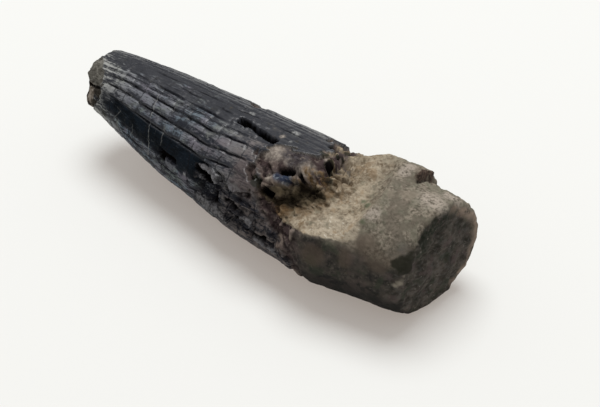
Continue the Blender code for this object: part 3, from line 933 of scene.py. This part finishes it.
# Fill: sandy stone, creamy on the ledge, and browner and clotted under the crags.
SAND_DARK = (0.13, 0.095, 0.06)
SAND_LIGHT = (0.33, 0.275, 0.20)
SAND_PALE = (0.42, 0.355, 0.265)
SAND_BROWN = (0.14, 0.095, 0.055)
SAND_UMBER = (0.11, 0.075, 0.044)
SAND_CREAM = (0.42, 0.365, 0.285)
SAND_SHADOW = (0.135, 0.105, 0.072)
SAND_GREEN = (0.17, 0.155, 0.11)
SAND_OCHRE = (0.24, 0.165, 0.095)
SAND_WHITE = (0.56, 0.51, 0.42)
CLOT_TAN = (0.16, 0.108, 0.06)
CLOT_DASH = (0.05, 0.030, 0.014)
CLOT_BROWN = (0.10, 0.062, 0.032)
CLOT_GAP = (0.035, 0.020, 0.010)

cream = layer("cream")
near_wall = layer("near_wall")
umber = between(0.5, 0.64, speckle * 0.55 + brown_patch * 0.45)
fill_colour = coats(
    mix(between(0.3, 0.62, grit), SAND_DARK, SAND_LIGHT),
    (between(0.47, 0.56, blotch) * 0.65, SAND_PALE),
    (layer("brown") * between(0.58, 0.42, speckle) * 0.8, SAND_BROWN),
    (umber * (0.75 - cream * 0.55), SAND_UMBER),
    (cream * 0.35, SAND_CREAM),
    (between(0.46, 0.38, fleck) * 0.5, SAND_SHADOW),
    (between(0.53, 0.62, stain_patch) * 0.6, SAND_GREEN),
    (between(0.44, 0.36, stain_patch) * 0.5, SAND_OCHRE),
    (between(0.6, 0.66, fleck) * (0.3 + cream * 0.5), SAND_WHITE),
    (near_wall * between(0.35, 0.55, speckle) * 0.7, CLOT_TAN),
    (near_wall * between(0.5, 0.6, dash) * 0.8, CLOT_DASH),
    (between(0.25, 0.1, layer("clump_own")) * near_wall * 0.5, CLOT_BROWN),
    (layer("clump_gap") * 0.8, CLOT_GAP),
)

# Root: grey-brown stone on top, much darker down its side, and near black low on the front and
# underneath, where painted shade stands in for the shadow by the table.
ROOT_SHADOW = (0.085, 0.073, 0.055)
ROOT_LIGHT = (0.25, 0.214, 0.168)
ROOT_GREEN = (0.15, 0.142, 0.105)
ROOT_TAN = (0.215, 0.178, 0.138)
ROOT_BROWN = (0.115, 0.095, 0.074)
SIDE_BLACK = (0.018, 0.017, 0.016)
SIDE_GREY = (0.062, 0.053, 0.044)
SIDE_GRIT = (0.095, 0.082, 0.068)
SIDE_GREEN = (0.034, 0.040, 0.027)
SIDE_PINK = (0.085, 0.066, 0.058)
SIDE_PALE = (0.11, 0.095, 0.08)
UNDERSIDE_SHADE = (0.010, 0.010, 0.010)

root_top = coats(
    mix(between(0.35, 0.65, grit), ROOT_SHADOW, ROOT_LIGHT),
    (between(0.44, 0.58, blotch) * 0.6, ROOT_GREEN),
    (between(0.5, 0.6, patch) * 0.6, ROOT_TAN),
    (between(0.52, 0.62, grey_patch) * 0.6, ROOT_BROWN),
)
root_side = coats(
    mix(between(0.35, 0.65, blotch), SIDE_BLACK, SIDE_GREY),
    (between(0.5, 0.7, grit) * 0.6, SIDE_GRIT),
    (between(0.52, 0.6, side_patch) * 0.6, SIDE_GREEN),
    (between(0.46, 0.38, side_patch) * 0.6, SIDE_PINK),
    (between(0.58, 0.68, speckle) * 0.5, SIDE_PALE),
    # painted shade near black along the underside by the table
    (layer("under") * 0.8, UNDERSIDE_SHADE),
)

# Root end: a fresh grey-green fracture with a faint slanting grain, dark along its upper left
# edge and with a pale rim on the far side.
END_DARK = (0.033, 0.030, 0.024)
END_LIGHT = (0.084, 0.071, 0.060)
GRAIN_LIGHT = (0.115, 0.105, 0.098)
GRAIN_DARK = (0.022, 0.020, 0.016)
END_GREEN = (0.042, 0.048, 0.034)
END_PINK = (0.085, 0.060, 0.058)
END_GRIT = (0.20, 0.18, 0.16)
END_BORDER = (0.017, 0.021, 0.014)
END_RIM = (0.26, 0.20, 0.155)

grain = add_node("ShaderNodeTexNoise", inputs={
    "Vector": add_node("ShaderNodeMapping", inputs={
        "Vector": where, "Rotation": (radians(-32.0), 0.0, 0.0),
        "Scale": (1100.0, 1200.0, 2000.0)}),
    "Scale": 1.0, "Detail": 2.0})
end_colour = coats(
    mix(between(0.38, 0.62, blotch), END_DARK, END_LIGHT),
    (between(0.48, 0.64, grain) * 0.35, GRAIN_LIGHT),
    (between(0.46, 0.36, grain) * 0.45, GRAIN_DARK),
    (between(0.55, 0.64, stain_patch) * 0.5, END_GREEN),
    (between(0.45, 0.36, stain_patch) * 0.45, END_PINK),
    (between(0.62, 0.72, grit) * 0.6, END_GRIT),
    (layer("end_dark") * between(0.7, 0.4, grit) * 0.9, END_BORDER),
    (layer("rim") * between(0.3, 0.5, blotch), END_RIM),
)

# Tip: bare grey dentine, with a brown lobe low on the front, darkened by a painted shadow along
# the enamel's edge.
TIP_DARK = (0.06, 0.056, 0.047)
TIP_GREY = (0.17, 0.16, 0.138)
TIP_SPECK = (0.035, 0.031, 0.026)
TIP_PALE = (0.235, 0.225, 0.20)
LOBE_BROWN = (0.10, 0.080, 0.062)
LOBE_TAN = (0.29, 0.25, 0.21)
LOBE_DARK = (0.014, 0.009, 0.006)
LOBE_EDGE_SHADOW = (0.010, 0.008, 0.006)

lobe_end = between(-0.0323, -0.0317, where_x + (speckle - 0.5) * 0.005)
lobe_colour = coats(
    LOBE_DARK,
    (lobe_end, mix(between(0.4, 0.6, grit), LOBE_BROWN, LOBE_TAN)),
    (layer("enamel_edge_shadow") * 0.9, LOBE_EDGE_SHADOW),
)
tip_colour = coats(
    mix(between(0.4, 0.6, fleck * 0.5 + thread * 0.5), TIP_DARK, TIP_GREY),
    (between(0.56, 0.46, speckle) * 0.6, TIP_SPECK),
    (between(0.54, 0.62, blotch) * 0.5, TIP_PALE),
    (layer("lobe") * 0.9, lobe_colour),
)

# Where each of them shows, and the stains and scuffs over them all, then painted shade in the
# recess under the crags and in the holes.
GREEN_STAIN = (0.085, 0.10, 0.06)
PALE_SCUFF = (0.36, 0.31, 0.26)
BRONZE_STAIN = (0.085, 0.064, 0.048)
PALE_LEDGE = (0.24, 0.21, 0.165)
PLUM_STAIN = (0.05, 0.032, 0.030)
DARK_STAIN = (0.018, 0.018, 0.012)
RUST = (0.155, 0.095, 0.045)
RECESS_BLACK = (0.010, 0.007, 0.004)
RECESS_BROWN = (0.078, 0.060, 0.037)
RECESS_RIM = (0.11, 0.065, 0.03)
SLAB_BREAK_DARK = (0.020, 0.012, 0.009)
SLAB_BREAK_RED = (0.085, 0.054, 0.042)
SLAB_FOOT = (0.006, 0.004, 0.003)
HOLE_SHADE = (0.003, 0.002, 0.002)

# The recess under the crags is painted dark: partly painted shade, partly the olive-brown of its
# floor, going rusty at its rim.
recess_shade_layer = layer("recess_shade")
recess_shaded = between(0.2, 0.8, recess_shade_layer + (speckle - 0.5) * 1.1 + (stain_patch - 0.5) * 0.8)
dark_patch = layer("dark") + (speckle - 0.5) * 1.1 + (stain_patch - 0.5) * 1.4
recess_shade_colour = coats(
    mix(between(0.4, 0.6, blotch), RECESS_BLACK, RECESS_BROWN),
    (between(0.55, 0.15, recess_shade_layer + (stain_patch - 0.5)), RECESS_RIM),
)
slab_colour = mix(between(0.4, 0.6, grit), SLAB_BREAK_DARK, SLAB_BREAK_RED)
connect(shader.inputs["Base Color"], coats(
    mix(lower_layer, root_top, root_side),
    (layer("fill"), fill_colour),
    (layer("crag"), crag_colour),
    (layer("bare_tip"), tip_colour),
    (layer("end"), end_colour),
    (enamel_layer * (1.0 - layer("end")), enamel_colour),
    (layer("green") * 0.75, GREEN_STAIN),
    (layer("light") * between(0.3, 0.6, grit) * 0.8, PALE_SCUFF),
    (layer("bronze") * 0.6, BRONZE_STAIN),
    (layer("ledge") * 0.8, PALE_LEDGE),
    (layer("plum") * 0.5, PLUM_STAIN),
    (between(0.1, 0.75, dark_patch) * 0.88, DARK_STAIN),
    (layer("orange") * between(0.4, 0.6, speckle) * 0.7, RUST),
    (recess_shaded * 0.92, recess_shade_colour),
    (layer("slab_face") * 0.9, slab_colour),
    (layer("slab_foot") * 0.9, SLAB_FOOT),
    # painted shade inside the holes and slots
    (layer("sunk"), HOLE_SHADE),
))

# Only the upper enamel has a coat of gloss.  The facet and all that is broken are dull.
STONE_ROUGHNESS = 0.88
ENAMEL_GLOSS = 0.4
COAT = 0.6

gloss = enamel_layer * (1.0 - in_groove) * (1.0 - layer("sunk"))
connect(shader.inputs["Roughness"],
        STONE_ROUGHNESS - gloss * ENAMEL_GLOSS + facet_layer * 0.25 + thin * 0.3)
connect(shader.inputs["Coat Weight"], gloss * (1.0 - facet_layer) * (1.0 - lower_layer) * COAT)
connect(shader.inputs["Normal"], add_node("ShaderNodeBump", inputs={
    "Strength": 0.8, "Distance": 0.0001, "Height": grit + fleck * 0.6}))
shader.inputs["Coat Roughness"].default_value = 0.35
shader.inputs["Specular IOR Level"].default_value = 0.06
skin.materials.append(finish)

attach(tooth, "root")
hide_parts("tooth")

# --- The table top, the light and the camera --------------------------------------------------
# A white table, one large soft lamp above and behind the tooth, and pale light from all round.
# The table glows a little, so that the tooth's shadow is not black.

TABLE_WHITE = (0.517, 0.546, 0.544, 1.0)
TABLE_GLOW = (0.29, 0.25, 0.22, 1.0)
LAMP_AT = Vector((-0.12, 0.2, 0.83))
LAMP_WIDTH = 0.6
LAMP_WATTS = 7.0
SKY_WHITE = (0.98, 0.99, 1.0, 1.0)
SKY_STRENGTH = 0.45
CAMERA_AT = Vector((0.13203, -0.15065, 0.16599))
LOOKS_AT = Vector((0.00927, -0.00113, 0.009))

board = bmesh.new()
bmesh.ops.create_grid(board, x_segments=1, y_segments=1, size=1.0)
table_mesh = bpy.data.meshes.new("table_top")
board.to_mesh(table_mesh)
board.free()
table = bpy.data.objects.new("table_top", table_mesh)
bpy.context.scene.collection.objects.link(table)
white = bpy.data.materials.new("white_table")
white.use_nodes = True
white_shader = white.node_tree.nodes["Principled BSDF"]
white_shader.inputs["Base Color"].default_value = TABLE_WHITE
white_shader.inputs["Roughness"].default_value = 0.9
white_shader.inputs["Specular IOR Level"].default_value = 0.0
white_shader.inputs["Emission Color"].default_value = TABLE_GLOW
white_shader.inputs["Emission Strength"].default_value = 1.0
table_mesh.materials.append(white)

lamp_data = bpy.data.lights.new("softbox", "AREA")
lamp_data.shape = "DISK"
lamp_data.size = LAMP_WIDTH
lamp_data.energy = LAMP_WATTS
lamp = bpy.data.objects.new("softbox", lamp_data)
lamp.location = LAMP_AT
lamp.rotation_euler = (-LAMP_AT).to_track_quat("-Z", "Y").to_euler()
bpy.context.scene.collection.objects.link(lamp)

sky = bpy.data.worlds.new("studio")
sky.use_nodes = True
sky.node_tree.nodes["Background"].inputs["Color"].default_value = SKY_WHITE
sky.node_tree.nodes["Background"].inputs["Strength"].default_value = SKY_STRENGTH
bpy.context.scene.world = sky
bpy.context.scene.view_settings.view_transform = "Standard"

camera_data = bpy.data.cameras.new("camera")
camera_data.lens = 100.0
camera_data.sensor_width = 36.0
camera_data.clip_start = 0.01
camera = bpy.data.objects.new("camera", camera_data)
camera.location = CAMERA_AT
camera.rotation_euler = (LOOKS_AT - CAMERA_AT).to_track_quat("-Z", "Y").to_euler()
bpy.context.scene.collection.objects.link(camera)
bpy.context.scene.camera = camera
